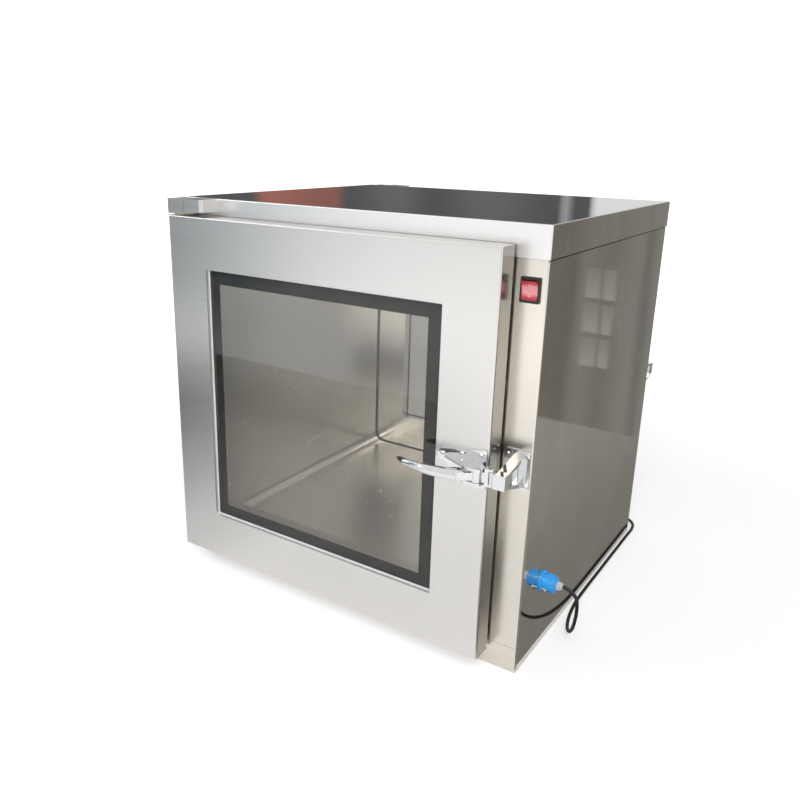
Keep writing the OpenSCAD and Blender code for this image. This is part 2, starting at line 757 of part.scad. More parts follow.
module hinge_bushes() color("#c8a45c") for (end = [[door_z1, 0], [door_z0, 1]])
    translate([pin_x, pin_y, end[0]]) mirror([0, 0, end[1]]) difference() {
        union() {
            cylinder(d = bush_flange_d, h = bush_flange);
            translate([0, 0, -bush_length]) cylinder(d = bush_d, h = bush_length + eps);
        }
        translate([0, 0, -bush_length - eps])
            cylinder(d = bush_bore, h = bush_length + 2 * eps + bush_flange);
    }

// ---- Door ----

module window_hole(y0, y1) {
    box([window_x0, y0, window_z0], [window_x1, y1, window_z1]);
}

module door_skin() color(STEEL) difference() {
    union() {
        difference() {
            bent_block([door_x0, door_front, door_z0], [door_x1, door_back, door_z1], door_bend);
            bent_block([door_x0 + sheet, door_front + sheet, door_z0 + sheet],
                [door_x1 - sheet, door_back + eps, door_z1 - sheet], door_bend - sheet);
        }
        box([window_x0 - sheet, door_front, window_z0 - sheet],
            [window_x1 + sheet, door_front + glass_recess, window_z1 + sheet]);
        pin_bore(door_z0, door_z0 + hinge_pad_h, hinge_pad_d);
        pin_bore(door_z1 - hinge_pad_h, door_z1, hinge_pad_d);
    }
    window_hole(door_front - eps, door_front + glass_recess + eps);
    pin_bore(door_z0 - eps, door_z0 + hinge_pad_h + eps, bush_d);
    pin_bore(door_z1 - hinge_pad_h - eps, door_z1 + eps, bush_d);
}

module door_inner_pan() color(STEEL) {
    edge = sheet + 0.3;
    clear_x0 = window_x0 + border_hinge_side - pan_window_lap;
    clear_x1 = window_x1 - border_latch_side + pan_window_lap;
    clear_z0 = window_z0 + border_bottom - pan_window_lap;
    clear_z1 = window_z1 - border_top + pan_window_lap;
    difference() {
        union() {
            difference() {
                box([door_x0 + edge, door_back - pan_lip, door_z0 + edge],
                    [door_x1 - edge, door_back, door_z1 - edge]);
                box([door_x0 + edge + sheet, door_back - pan_lip - eps, door_z0 + edge + sheet],
                    [door_x1 - edge - sheet, door_back - sheet, door_z1 - edge - sheet]);
            }
            box([clear_x0 - sheet, border_back, clear_z0 - sheet],
                [clear_x1 + sheet, door_back, clear_z1 + sheet]);
        }
        box([clear_x0, door_front, clear_z0], [clear_x1, door_back + eps, clear_z1]);
    }
}

module door_glass() color([0.62, 0.72, 0.68, 0.35])
    box([window_x0 - glass_lap, glass_front, window_z0 - glass_lap],
        [window_x1 + glass_lap, glass_back, window_z1 + glass_lap]);

module glass_border() color(CHARCOAL) difference() {
    box([window_x0 - glass_lap, glass_back, window_z0 - glass_lap],
        [window_x1 + glass_lap, border_back, window_z1 + glass_lap]);
    box([window_x0 + border_hinge_side, glass_back - eps, window_z0 + border_bottom],
        [window_x1 - border_latch_side, border_back + eps, window_z1 - border_top]);
}

module glazing_seal() color("#a9aaa8") upright(door_front + glass_recess, glass_front)
    ring_2d([window_x0 - 8, window_z0 - 8], [window_x1 + 8, window_z1 + 8], 8 + seal_lip, 2);

module door_gasket() color(RUBBER) upright(door_back, -half_d - gasket_squeeze)
    ring_2d([door_x0 + gasket_inset, door_z0 + gasket_inset],
        [door_x1 - gasket_inset, door_z1 - gasket_inset], gasket_width, 10);

// ---- Latch ----

function at_latch(p) = [door_x1 + p[0], door_front - p[1]];
function at_latch3(p, z) = [door_x1 + p[0], door_front - p[1], latch_z + z];

module latch_cylinder(p, d, z0, z1) {
    translate(at_latch3(p, z0)) cylinder(d = d, h = z1 - z0);
}

module latch_plate(outline, z0, z1) {
    translate([0, 0, latch_z + z0]) linear_extrude(z1 - z0)
        polygon([for (p = outline) at_latch(p)]);
}

// The base has a wing plate on the door and two ramped lugs that carry the pivot pin.
module latch_base() color(CHROME) {
    ramp = [[-57, 0], [-57, 9], [-20, 27.6], [-6, 28.4], [-6, 19], [-3, 11], [-9, 0]];
    difference() {
        union() {
            translate([door_x1, 0, latch_z]) upright(door_front - wing_t, door_front) polygon(wing);
            for (side = [0, 1]) translate([0, 0, latch_z]) mirror([0, 0, side])
                translate([0, 0, -latch_z]) {
                    latch_plate(ramp, lug_inner, lug_outer);
                    latch_cylinder(pivot_at, 2 * lug_r, lug_inner, lug_outer);
                }
            latch_plate([[-54, 0], [-54, 6], [-12, 6], [-12, 0]], -lug_inner - eps, lug_inner + eps);
        }
        latch_cylinder(pivot_at, pivot_d, -lug_outer - eps, lug_outer + eps);
    }
}

module latch_screws() color(CHROME) for (p = latch_screws)
    translate([door_x1 + p[0], door_front - wing_t, latch_z + p[1]]) rotate([90, 0, 0]) pan_head(6);

module latch_pivot() color(CHROME) {
    latch_cylinder(pivot_at, pivot_d, -lug_outer, lug_outer);
    latch_cylinder(pivot_at, pivot_d + 3, lug_outer, lug_outer + 1.2);
    latch_cylinder(pivot_at, pivot_d + 3, -lug_outer - 1.2, -lug_outer);
}

// A bar of changing thickness: a ring of points square to the centreline at each point of it.
module grip() {
    route = concat(smooth(grip_path), grip_end);
    last = len(route) - 1;
    rings = [for (i = [0 : last])
        let (a = route[max(i - 1, 0)], b = route[min(i + 1, last)],
            along = unit([b[0] - a[0], a[1] - b[1]]), r = grip_d * route[i][2] / 2)
        for (k = [0 : grip_sides - 1]) let (turn = 360 * (k + 0.5) / grip_sides)
            at_latch3(route[i], 0)
                + [-along[1] * r * cos(turn), along[0] * r * cos(turn), r * sin(turn)]];
    polyhedron(rings, ring_faces(last, grip_sides), convexity = 10);
}

// The side of the grip's end that faces the door, filled by the soft tip.
module tip_space() {
    translate(at_latch3(tip_from, -grip_d)) rotate([0, 0, tip_slope])
        translate([-3 * grip_d, 0, 0]) cube([3 * grip_d, grip_d, 2 * grip_d]);
}

// The fork on the hub's far side holds the roller.
module fork() {
    translate(at_latch3(pivot_at, 0)) rotate([0, 0, roller_angle]) difference() {
        union() {
            box([pivot_d, -fork_width / 2, -arm_half_h], [fork_start + 1, fork_width / 2, arm_half_h]);
            box([fork_start, -fork_width / 2, -fork_half_h], [roller_reach, fork_width / 2, fork_half_h]);
            translate([roller_reach, 0, -fork_half_h]) cylinder(d = fork_width, h = 2 * fork_half_h);
        }
        translate([roller_reach, 0, -roller_half_h - 0.2])
            cylinder(d = roller_d + 1.2, h = 2 * roller_half_h + 0.4);
    }
}

module latch_lever() color(CHROME) {
    neck = [[-8, 27.4], [-24, 37.6], [-31, 38.7], [-31, 31.2], [-24, 30], [-13.4, 13.5]];
    difference() {
        union() {
            latch_cylinder(pivot_at, 17, -hub_height / 2, hub_height / 2);
            latch_plate(neck, -5, 5);
            fork();
            difference() {
                grip();
                tip_space();
            }
        }
        latch_cylinder(pivot_at, pivot_d + 2 * fit, -hub_height, hub_height);
    }
    latch_cylinder(roller_at, roller_pin_d, -fork_half_h - 0.6, fork_half_h + 0.6);
}

module lever_tip() color(RUBBER) intersection() {
    grip();
    tip_space();
}

module latch_roller() color(CHROME) difference() {
    latch_cylinder(roller_at, roller_d, -roller_half_h, roller_half_h);
    latch_cylinder(roller_at, roller_pin_d + 2 * fit, -roller_half_h - eps, roller_half_h + eps);
}

// The strike is a plate on the column with a tapered arm; its nose cups the roller.
module strike() color(CHROME) {
    foot = -half_d;
    nose_y = door_front - roller_at[1] - roller_d / 2 - nose_wall;
    nose_x0 = door_x1 + roller_at[0] + 2;
    arm_x0 = door_x1 + strike_arm_x[0];
    arm_x1 = door_x1 + strike_arm_x[1];
    mid = door_front - 14;
    difference() {
        union() {
            translate([door_x1, 0, latch_z]) upright(foot - strike_t, foot)
                round_rect([strike_from, strike_z[0]], [strike_from + strike_width, strike_z[1]], 3);
            along_x(arm_x0, arm_x1) translate([0, latch_z])
                polygon([[foot - eps, strike_z[0] + 3], [foot - eps, strike_z[1] - 2], [mid, nose_half_h + 1],
                    [nose_y, nose_half_h], [nose_y, -nose_half_h], [mid, -nose_half_h - 1]]);
            translate([0, 0, latch_z - nose_half_h]) linear_extrude(2 * nose_half_h) intersection() {
                translate([nose_x0, nose_y]) round_front(arm_x1 - nose_x0, 30, 3);
                translate([nose_x0, nose_y]) square([arm_x1 - nose_x0, door_front - roller_at[1] - 1 - nose_y]);
            }
        }
        latch_cylinder(roller_at, roller_d + 0.6, -30, 30);
        // The arm's outer side is hollow between two ribs.
        for (part = [0, 1]) along_x(arm_x1 - 3, arm_x1 + eps) translate([0, latch_z])
            polygon(strike_hollow(foot, mid, part));
    }
}

// One of the two hollows: the one beside the foot, or the one behind the nose.
function strike_hollow(foot, mid, part) =
    let (split = (foot + mid) / 2, half = (strike_z[1] - strike_z[0]) / 2, rise = (strike_z[1] + strike_z[0]) / 2)
    part == 0
        ? [[foot - 6, rise - half + 8], [foot - 6, rise + half - 7], [split + 1.5, rise / 2 + 12],
            [split + 1.5, rise / 2 - 12]]
        : [[split - 1.5, rise / 2 - 11], [split - 1.5, rise / 2 + 11], [mid + 2, nose_half_h - 2],
            [mid + 2, -nose_half_h + 2]];

module strike_screw_set() {
    for (p = strike_screws)
        translate([door_x1 + p[0], -half_d - strike_t, latch_z + p[1]])
            rotate([90, 0, 0]) pan_head(strike_screw_d);
}

module strike_screws() color(CHROME) {
    strike_screw_set();
    to_rear() strike_screw_set();
}

// ---- Nodes ----

base_pan();
side_panel_left();
side_panel_right();
top_cap();
front_frame();
rear_frame();
chamber_liner();
floor_rails();
uv_batten();
uv_tube();
uv_lampholders();
uv_ballast();
wiring_loom();
switch_body();
switch_rocker();
power_inlet();
inlet_screws();
power_connector();
connector_latch();
cable_gland();
power_cord();
cord_coil();
cord_tie();
mains_plug();
interlock_shaft();
interlock_bearings();
hinge_pins();
strike_screws();
hinge_brackets();  // front_hinge_brackets
strike();  // front_strike
door_skin();  // front_door_skin
door_inner_pan();  // front_door_inner_pan
door_glass();  // front_door_glass
glass_border();  // front_glass_border
glazing_seal();  // front_glazing_seal
door_gasket();  // front_door_gasket
hinge_bushes();  // front_hinge_bushes
catch_stud();  // front_catch_stud
latch_base();  // front_latch_base
latch_screws();  // front_latch_screws
latch_pivot();  // front_latch_pivot
latch_lever();  // front_latch_lever
lever_tip();  // front_lever_tip
latch_roller();  // front_latch_roller
to_rear() hinge_brackets();  // rear_hinge_brackets
to_rear() strike();  // rear_strike
to_rear() door_skin();  // rear_door_skin
to_rear() door_inner_pan();  // rear_door_inner_pan
to_rear() door_glass();  // rear_door_glass
to_rear() glass_border();  // rear_glass_border
to_rear() glazing_seal();  // rear_glazing_seal
to_rear() door_gasket();  // rear_door_gasket
to_rear() hinge_bushes();  // rear_hinge_bushes
to_rear() catch_stud();  // rear_catch_stud
to_rear() latch_base();  // rear_latch_base
to_rear() latch_screws();  // rear_latch_screws
to_rear() latch_pivot();  // rear_latch_pivot
to_rear() latch_lever();  // rear_latch_lever
to_rear() lever_tip();  // rear_lever_tip
to_rear() latch_roller();  // rear_latch_roller
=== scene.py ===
import json
import math

import bmesh
import bpy
from mathutils import Matrix, Vector
from mathutils.bvhtree import BVHTree


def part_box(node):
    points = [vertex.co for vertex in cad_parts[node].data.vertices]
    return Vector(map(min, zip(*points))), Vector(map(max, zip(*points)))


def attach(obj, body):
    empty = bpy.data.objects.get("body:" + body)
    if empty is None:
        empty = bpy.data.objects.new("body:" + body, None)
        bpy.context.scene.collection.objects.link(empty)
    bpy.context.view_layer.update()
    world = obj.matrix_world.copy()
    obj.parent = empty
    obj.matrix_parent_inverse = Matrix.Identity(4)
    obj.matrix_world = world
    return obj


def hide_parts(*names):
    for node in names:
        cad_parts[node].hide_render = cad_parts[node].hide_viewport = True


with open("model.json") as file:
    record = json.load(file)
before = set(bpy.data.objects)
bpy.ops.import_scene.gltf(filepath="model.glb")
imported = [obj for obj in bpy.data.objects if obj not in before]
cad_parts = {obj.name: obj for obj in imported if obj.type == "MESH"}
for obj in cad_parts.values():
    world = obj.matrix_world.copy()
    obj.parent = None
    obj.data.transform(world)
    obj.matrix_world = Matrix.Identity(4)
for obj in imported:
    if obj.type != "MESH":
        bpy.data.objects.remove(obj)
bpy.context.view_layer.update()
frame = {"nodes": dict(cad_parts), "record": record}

MM = 0.001
scene = bpy.context.scene
scene.view_settings.view_transform = "Standard"
nodes = frame["nodes"]


# ---------------------------------------------------------------- camera

# These come from a fit of the cabinet's corners to the photo.
SENSOR_WIDTH = 36
LENS = 35.34
LENS_SHIFT = (0.0354, -0.0223)
CAMERA_AT = Vector((0.6291, -1.1137, 0.6891))
CAMERA_RIGHT = Vector((0.8277, 0.5609, 0.0182))
CAMERA_FORWARD = Vector((-0.5314, 0.7937, -0.2960))
CAMERA_CLIP = (0.01, 60)


def make_camera():
    data = bpy.data.cameras.new("camera")
    data.sensor_width = SENSOR_WIDTH
    data.lens = LENS
    data.shift_x, data.shift_y = LENS_SHIFT
    data.clip_start, data.clip_end = CAMERA_CLIP
    cam = bpy.data.objects.new("camera", data)
    forward = CAMERA_FORWARD.normalized()
    up = CAMERA_RIGHT.normalized().cross(forward).normalized()
    right = forward.cross(up)
    m = Matrix((right, up, -forward)).transposed().to_4x4()
    m.translation = CAMERA_AT
    cam.matrix_world = m
    scene.collection.objects.link(cam)
    scene.camera = cam


make_camera()


# ---------------------------------------------------------------- node helpers

# The colour sockets of a Mix node, which share their names with its other kinds.
MIX_A, MIX_B, MIX_OUT = 6, 7, 2


def rgba(value):
    """A grey, a colour or a colour with an alpha, as four numbers."""
    if not hasattr(value, "__len__"):
        value = (value,) * 3
    return (*value, 1) if len(value) == 3 else tuple(value)


class Tree:
    """A node tree, with short calls for the nodes used here."""

    def __init__(self, tree):
        self.t = tree

    def new(self, kind, **props):
        n = self.t.nodes.new(kind)
        for k, v in props.items():
            setattr(n, k, v)
        return n

    def link(self, a, b):
        self.t.links.new(a, b)

    def put(self, socket, value):
        """Links what another node gives, or sets a plain value."""
        if hasattr(value, "node"):
            self.link(value, socket)
        else:
            socket.default_value = value

    def coords(self, kind="Object", scale=None):
        out = self.new("ShaderNodeTexCoord").outputs[kind]
        if scale is None:
            return out
        n = self.new("ShaderNodeMapping")
        n.inputs["Scale"].default_value = scale
        self.link(out, n.inputs["Vector"])
        return n.outputs["Vector"]

    def axes(self, kind="Object"):
        """X, Y and Z of the coordinates, each by itself."""
        n = self.new("ShaderNodeSeparateXYZ")
        self.link(self.coords(kind), n.inputs[0])
        return n.outputs

    def math(self, op, *values):
        n = self.new("ShaderNodeMath", operation=op)
        for socket, value in zip(n.inputs, values):
            self.put(socket, value)
        return n.outputs["Value"]

    def span(self, fac, lo, hi, a=0.3, b=0.7, **props):
        """Maps a to lo and b to hi."""
        n = self.new("ShaderNodeMapRange", **props)
        for k, v in (("From Min", a), ("From Max", b), ("To Min", lo), ("To Max", hi)):
            n.inputs[k].default_value = v
        self.link(fac, n.inputs["Value"])
        return n.outputs["Result"]

    def ramp(self, fac, stops, interpolation="LINEAR"):
        n = self.new("ShaderNodeValToRGB")
        els = n.color_ramp.elements
        while len(els) < len(stops):
            els.new(0.5)
        for e, (pos, value) in zip(els, stops):
            e.position = pos
            e.color = rgba(value)
        n.color_ramp.interpolation = interpolation
        self.link(fac, n.inputs["Fac"])
        return n.outputs["Color"]

    def mix(self, fac, a, b):
        n = self.new("ShaderNodeMix", data_type="RGBA")
        self.put(n.inputs["Factor"], fac)
        for k, v in ((MIX_A, a), (MIX_B, b)):
            self.put(n.inputs[k], v if hasattr(v, "node") else rgba(v))
        return n.outputs[MIX_OUT]

    def mix_shader(self, fac, a, b):
        n = self.new("ShaderNodeMixShader")
        for socket, value in zip(n.inputs, (fac, a, b)):
            self.link(value, socket)
        return n.outputs["Shader"]


class Mat(Tree):
    """A Principled material."""

    def __init__(self, name, color, rough, metal=0.0, **sockets):
        self.m = bpy.data.materials.new(name)
        self.m.use_nodes = True
        super().__init__(self.m.node_tree)
        self.b = self.t.nodes["Principled BSDF"]
        self.b.inputs["Base Color"].default_value = rgba(color)
        self.b.inputs["Roughness"].default_value = rough
        self.b.inputs["Metallic"].default_value = metal
        for k, v in sockets.items():
            self.b.inputs[k.replace("_", " ")].default_value = v

    def noise(self, scale, detail=3.0, rough=0.5, distort=0.0):
        n = self.new("ShaderNodeTexNoise")
        n.inputs["Scale"].default_value = 1.0
        n.inputs["Detail"].default_value = detail
        n.inputs["Roughness"].default_value = rough
        n.inputs["Distortion"].default_value = distort
        self.link(self.coords(scale=scale), n.inputs["Vector"])
        return n.outputs["Fac"]

    def bump(self, height, strength, distance, after=None):
        n = self.new("ShaderNodeBump")
        n.inputs["Strength"].default_value = strength
        n.inputs["Distance"].default_value = distance
        self.link(height, n.inputs["Height"])
        if after is not None:
            self.link(after, n.inputs["Normal"])
        return n.outputs["Normal"]

    def to(self, socket, value):
        self.link(value, self.b.inputs[socket])


def empty_material(name):
    """A material that holds only its output: itself, its tree and the output's surface."""
    mat = bpy.data.materials.new(name)
    mat.use_nodes = True
    tree = Tree(mat.node_tree)
    tree.t.nodes.clear()
    return mat, tree, tree.new("ShaderNodeOutputMaterial").inputs["Surface"]


# ---------------------------------------------------------------- materials

def brushed(name, color, rough, streak=0.035, aniso=0.5):
    """Brushed sheet: its fine lines run level and change quickly with height."""
    m = Mat(name, color, rough, 1.0)
    lines = m.noise((10, 10, 1900), 5, 0.7)
    bands = m.noise((2.5, 2.5, 420), 3, 0.6)
    cloud = m.noise((5, 5, 5), 3, 0.5)
    rubs = m.ramp(m.noise((26, 26, 190), 5, 0.7, distort=0.8), [(0.6, 0.0), (0.78, 1.0)])
    tone = m.math("ADD", m.span(bands, -streak, streak), m.span(cloud, -0.03, 0.03))
    tone = m.math("ADD", tone, m.span(lines, -1.6 * streak, 1.6 * streak))
    light = tuple(min(1, c * 1.12) for c in color)
    dark = tuple(c * 0.86 for c in color)
    m.to("Base Color", m.mix(m.math("ADD", tone, 0.5), dark, light))
    r = m.math("ADD", m.span(bands, -0.02, 0.02), rough)
    r = m.math("ADD", r, m.math("MULTIPLY", rubs, 0.07))
    m.to("Roughness", m.math("ADD", r, m.span(lines, -0.4 * streak, 0.4 * streak)))
    slow = m.bump(m.noise((4, 4, 4), 1, 0.4), 0.05, 0.01)
    m.to("Normal", m.bump(lines, streak, 0.00003, slow))
    m.b.inputs["Anisotropic"].default_value = aniso
    t = m.new("ShaderNodeTangent", direction_type="RADIAL", axis="Z")
    m.to("Tangent", t.outputs["Tangent"])
    return m.m


def polished(name, color, rough, wave=0.15, smear=0.05, scratch=0.04):
    """Polished sheet: a slow waviness, hand smears and a few hair scratches."""
    m = Mat(name, color, rough, 1.0)
    cloud = m.noise((6, 6, 6), 4, 0.6, distort=0.6)
    smears = m.ramp(m.noise((9, 9, 5), 6, 0.72, distort=1.8), [(0.5, 0.0), (0.72, 1.0)])
    hairs = m.ramp(m.noise((14, 14, 700), 6, 0.8, distort=0.4), [(0.63, 0.0), (0.68, 1.0)])
    dark = tuple(c * 0.93 for c in color)
    light = tuple(min(1, c * 1.06) for c in color)
    pale = tuple(min(1, c * 1.25 + 0.03) for c in color)
    plain = m.mix(m.span(cloud, 0, 1), dark, light)
    m.to("Base Color", m.mix(m.math("MULTIPLY", smears, 0.35), plain, pale))
    r = m.math("ADD", m.math("MULTIPLY", smears, smear), rough)
    m.to("Roughness", m.math("ADD", r, m.math("MULTIPLY", hairs, scratch)))
    slow = m.bump(m.noise((4.5, 4.5, 3.2), 1, 0.4), wave, 0.01)
    m.to("Normal", m.bump(m.noise((60, 60, 60), 3, 0.5), 0.03, 0.0004, slow))
    return m.m


def chromed(name, color=(0.78, 0.79, 0.80), rough=0.07):
    """Plated metal: faintly clouded, with fine pits."""
    m = Mat(name, color, rough, 1.0)
    cloud = m.noise((90, 90, 90), 3, 0.6)
    m.to("Roughness", m.math("ADD", m.span(cloud, -0.02, 0.06), rough))
    m.to("Base Color", m.mix(m.span(cloud, 0, 1), tuple(c * 0.94 for c in color), color))
    pits = m.bump(m.noise((900, 900, 900), 3, 0.6), 0.03, 0.00005)
    m.to("Normal", m.bump(m.noise((160, 160, 160), 2, 0.5), 0.05, 0.0006, pits))
    return m.m


def plastic(name, color, rough, grain=900.0, depth=0.15, coat=0.0, vary=0.15, **sockets):
    """Plastic, rubber or paint: a moulded grain and a slightly uneven colour."""
    m = Mat(name, color, rough, 0.0, **sockets)
    if coat:
        m.b.inputs["Coat Weight"].default_value = coat
        m.b.inputs["Coat Roughness"].default_value = 0.08
    cloud = m.noise((45, 45, 45), 3, 0.55)
    dark = tuple(c * (1 - vary) for c in color)
    light = tuple(min(1, c * (1 + vary) + 0.004) for c in color)
    m.to("Base Color", m.mix(m.span(cloud, 0, 1), dark, light))
    m.to("Roughness", m.math("ADD", m.span(cloud, -0.06, 0.08), rough))
    m.to("Normal", m.bump(m.noise((grain,) * 3, 3, 0.6), depth, 0.00008))
    return m.m


def glass(name, tint):
    """Clear, slightly dusty glass. Shadow and diffuse rays pass straight through with its tint."""
    m = Mat(name, tint, 0.0, 0.0, Transmission_Weight=1.0, IOR=1.5)
    m.to("Roughness", m.span(m.noise((30, 30, 30), 5, 0.7), 0.0, 0.02, 0.45, 0.8))
    clear = m.new("ShaderNodeBsdfTransparent")
    clear.inputs["Color"].default_value = rgba(tint)
    path = m.new("ShaderNodeLightPath").outputs
    share = m.math("MAXIMUM", path["Is Shadow Ray"], path["Is Diffuse Ray"])
    both = m.mix_shader(share, m.b.outputs["BSDF"], clear.outputs["BSDF"])
    m.link(both, m.t.nodes["Material Output"].inputs["Surface"])
    return m.m


def rocker_red_painted_light(name, box):
    """Red rocker with painted light: its paler middle is a painted highlight and its dark ends are painted
    shade.
    """
    dark, red, pale = (0.30, 0.006, 0.016), (0.68, 0.03, 0.06), (0.98, 0.33, 0.36)
    m = Mat(name, (0.7, 0.03, 0.06), 0.14, 0.0, Coat_Weight=0.8, Coat_Roughness=0.05)
    up = m.span(m.axes()["Z"], 0.0, 1.0, box[0][2], box[1][2])
    uneven = m.math("ADD", up, m.span(m.noise((160, 160, 160), 3, 0.6), -0.05, 0.05))
    # A painted highlight in the middle and painted shade at both ends.
    m.to("Base Color", m.ramp(uneven, [(0.0, dark), (0.16, red), (0.36, pale),
                                       (0.68, pale), (0.84, red), (1.0, dark)]))
    m.to("Normal", m.bump(m.noise((400, 400, 400), 3, 0.6), 0.03, 0.00008))
    return m.m


# A painted shadow: the side panels darken to this colour in a thin band right under the cap's skirt.
SKIRT_SHADOW_FADE = (2.4 * MM, 1.8 * MM)
SKIRT_SHADOW_COLOR = (0.02, 0.018, 0.016)


def with_painted_skirt_shadow(mat):
    """Paints the shadow under the cap's skirt into the side panels' finish: a dark band right below the
    skirt, where the joint is.
    """
    tree = Tree(mat.node_tree)
    base = tree.t.nodes["Principled BSDF"].inputs["Base Color"]
    plain = base.links[0].from_socket
    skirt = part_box("top_cap")[0][2]
    near = tree.span(tree.axes()["Z"], 0.0, 1.0, skirt - SKIRT_SHADOW_FADE[0], skirt - SKIRT_SHADOW_FADE[1])
    tree.link(tree.mix(near, plain, SKIRT_SHADOW_COLOR), base)
    return mat


mats = {
    "brushed": brushed("brushed_sheet", (0.74, 0.725, 0.71), 0.3),
    # The cap's front and back: the same brushed steel with a much paler base colour, which is painted
    # light.
    "cap": brushed("cap_sheet_painted_light", (0.92, 0.91, 0.895), 0.34, streak=0.03),
    # The column and the base pan: the same steel, warmer and a little darker than the door; the warmth is
    # partly their own sheet, and the darkening is painted shade from the door.
    "column": brushed("column_sheet_part_painted_shade", (0.75, 0.71, 0.645), 0.22, streak=0.012),
    # The door skin's side faces: the same steel with a much darker base colour, which is painted shade;
    # their lower roughness is their own finish.
    "edge": brushed("door_edge_painted_shade", (0.46, 0.44, 0.405), 0.24, streak=0.012, aniso=0.2),
    # The window's cut edges: the same steel with a paler base colour, which is a painted highlight.
    "reveal": brushed("window_reveal_painted_highlight", (0.93, 0.93, 0.92), 0.5, streak=0.01, aniso=0.0),
    "mirror": with_painted_skirt_shadow(polished("mirror_sheet", (0.60, 0.585, 0.56), 0.05)),
    "cap_top": polished("cap_top_sheet", (0.56, 0.56, 0.57), 0.035, wave=0.1),
    "cap_side": polished("cap_side_sheet", (0.62, 0.61, 0.59), 0.12, smear=0.08),
    "inner": brushed("inner_sheet", (0.81, 0.785, 0.735), 0.24, streak=0.02),
    "zinc": polished("zinc_steel", (0.52, 0.53, 0.54), 0.4, 0.05, 0.1, 0.05),
    "chrome": chromed("chrome"),
    "glass": glass("door_glass", (0.925, 0.93, 0.92)),
    "lamp": glass("lamp_glass", (0.95, 0.97, 1.0)),
    "border": plastic("glass_border", (0.05, 0.046, 0.044), 0.14, coat=1.0, IOR=2.1),
    "seal": plastic("sealant", (0.74, 0.75, 0.74), 0.45, 300, 0.3, vary=0.06),
    "rubber": plastic("gasket_rubber", (0.018, 0.018, 0.018), 0.55, 700, 0.4),
    "black": plastic("black_plastic", (0.02, 0.02, 0.021), 0.42, 1400, 0.35),
    "pvc": plastic("black_pvc", (0.012, 0.012, 0.013), 0.36, 500, 0.15),
    "red": rocker_red_painted_light("red_plastic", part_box("switch_rocker")),
    "blue": plastic("blue_plastic", (0.03, 0.40, 0.92), 0.28, 700, 0.08, coat=0.3, vary=0.08),
    "grey": plastic("grey_plastic", (0.62, 0.63, 0.64), 0.35, 700, 0.1),
    "enamel": plastic("white_enamel", (0.80, 0.80, 0.78), 0.25, 250, 0.12, coat=0.3, vary=0.04),
    "white": plastic("white_plastic", (0.78, 0.78, 0.75), 0.3, 700, 0.1, vary=0.04),
    "brass": chromed("brass", (0.72, 0.53, 0.26), 0.22),
}
by_slot = {
    "brushed_sheet": "brushed", "mirror_sheet": "mirror", "inner_sheet": "inner", "zinc_steel": "zinc",
    "chrome": "chrome", "glass": "glass", "lamp_glass": "lamp", "border_black": "border",
    "sealant": "seal", "gasket": "rubber", "black_plastic": "black", "black_pvc": "pvc",
    "red_plastic": "red", "blue_plastic": "blue", "grey_plastic": "grey",
    "white_enamel": "enamel", "white_plastic": "white", "brass": "brass",
}
slot_of = {s["node"]: s["material_slot"] for s in frame["record"]["subparts"]}
for name, o in nodes.items():
    o.data.materials.clear()
    o.data.materials.append(mats[by_slot[slot_of[name]]])

# How squarely a face looks along an axis: 1 is straight along it, and 0 is across it.
FACES_ALONG = 0.8
FACES_ACROSS = 0.3
# A window's cut edges lie within this share of the skin's width from its middle.
REVEAL_REACH = 0.4


def face_finish_and_painted_light(node, base, facing):
    """Gives the faces that look along an axis a material of their own, and the rest a base one. The cap's
    polished top and sides are real finishes; the other materials used here are copies of the same brushed
    steel whose base colours carry painted light and shade.
    """
    me = nodes[node].data
    me.materials.clear()
    me.materials.append(mats[base])
    for axis, finish in facing:
        me.materials.append(mats[finish])
        for poly in me.polygons:
            if abs(poly.normal[axis]) > FACES_ALONG:
                poly.material_index = len(me.materials) - 1


def window_reveal_painted_highlight(node):
    """Gives the cut edges round a door's window, which face along X or Z well inside the skin, the paler
    copy of the steel that paints a highlight on them.
    """
    me = nodes[node].data
    me.materials.append(mats["reveal"])
    low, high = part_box(node)
    mid = [(a + b) / 2 for a, b in zip(low, high)]
    inside = REVEAL_REACH * (high[0] - low[0])
    for poly in me.polygons:
        far = max(abs(poly.center[0] - mid[0]), abs(poly.center[2] - mid[2]))
        if abs(poly.normal[1]) < FACES_ACROSS and far < inside:
            poly.material_index = len(me.materials) - 1


face_finish_and_painted_light("top_cap", "cap", [(2, "cap_top"), (0, "cap_side")])
face_finish_and_painted_light("base_pan", "column", [])
for side in ("front", "rear"):
    face_finish_and_painted_light(side + "_frame", "column", [])
    face_finish_and_painted_light(side + "_door_skin", "brushed", [(0, "edge")])
    window_reveal_painted_highlight(side + "_door_skin")


# ---------------------------------------------------------------- mains lead

# The lead's measures are in millimetres.
HALF_W, HALF_D = 295.0, 252.5
INLET_Y, INLET_Z = -177.0, 106.0
GLAND_X1 = 322.0 + 2.5
GLAND_GRIP = 1.5
CORD_D = 5
CORD_Z = 2.6
# From the connector to the ground, as steps from the cabinet's side at the inlet.
DROP = [(33, 0, 0), (41, 0, -2.7), (48, 1, -10), (50.5, 2, -20), (50, 5, -36), (47, 11, -54),
        (42, 20, -72), (34, 34, -88), (25, 53, -98), (17, 76, -102.6), (11, 104, -103.4)]
# Along the ground, as steps from the cabinet's rear right corner.
GROUND = [(7, -290), (6, -240), (6, -170), (6, -100), (6, -30), (6, 5), (1, 27), (-14, 43),
          (-36, 49), (-58, 49.5)]
OUTER, MIDDLE, INNER = 32.5, 27.5, 22.5
COIL_X, COIL_Y = 200.0, HALF_D + 82
LANE = COIL_Y - OUTER
LEAD_IN = 18.1
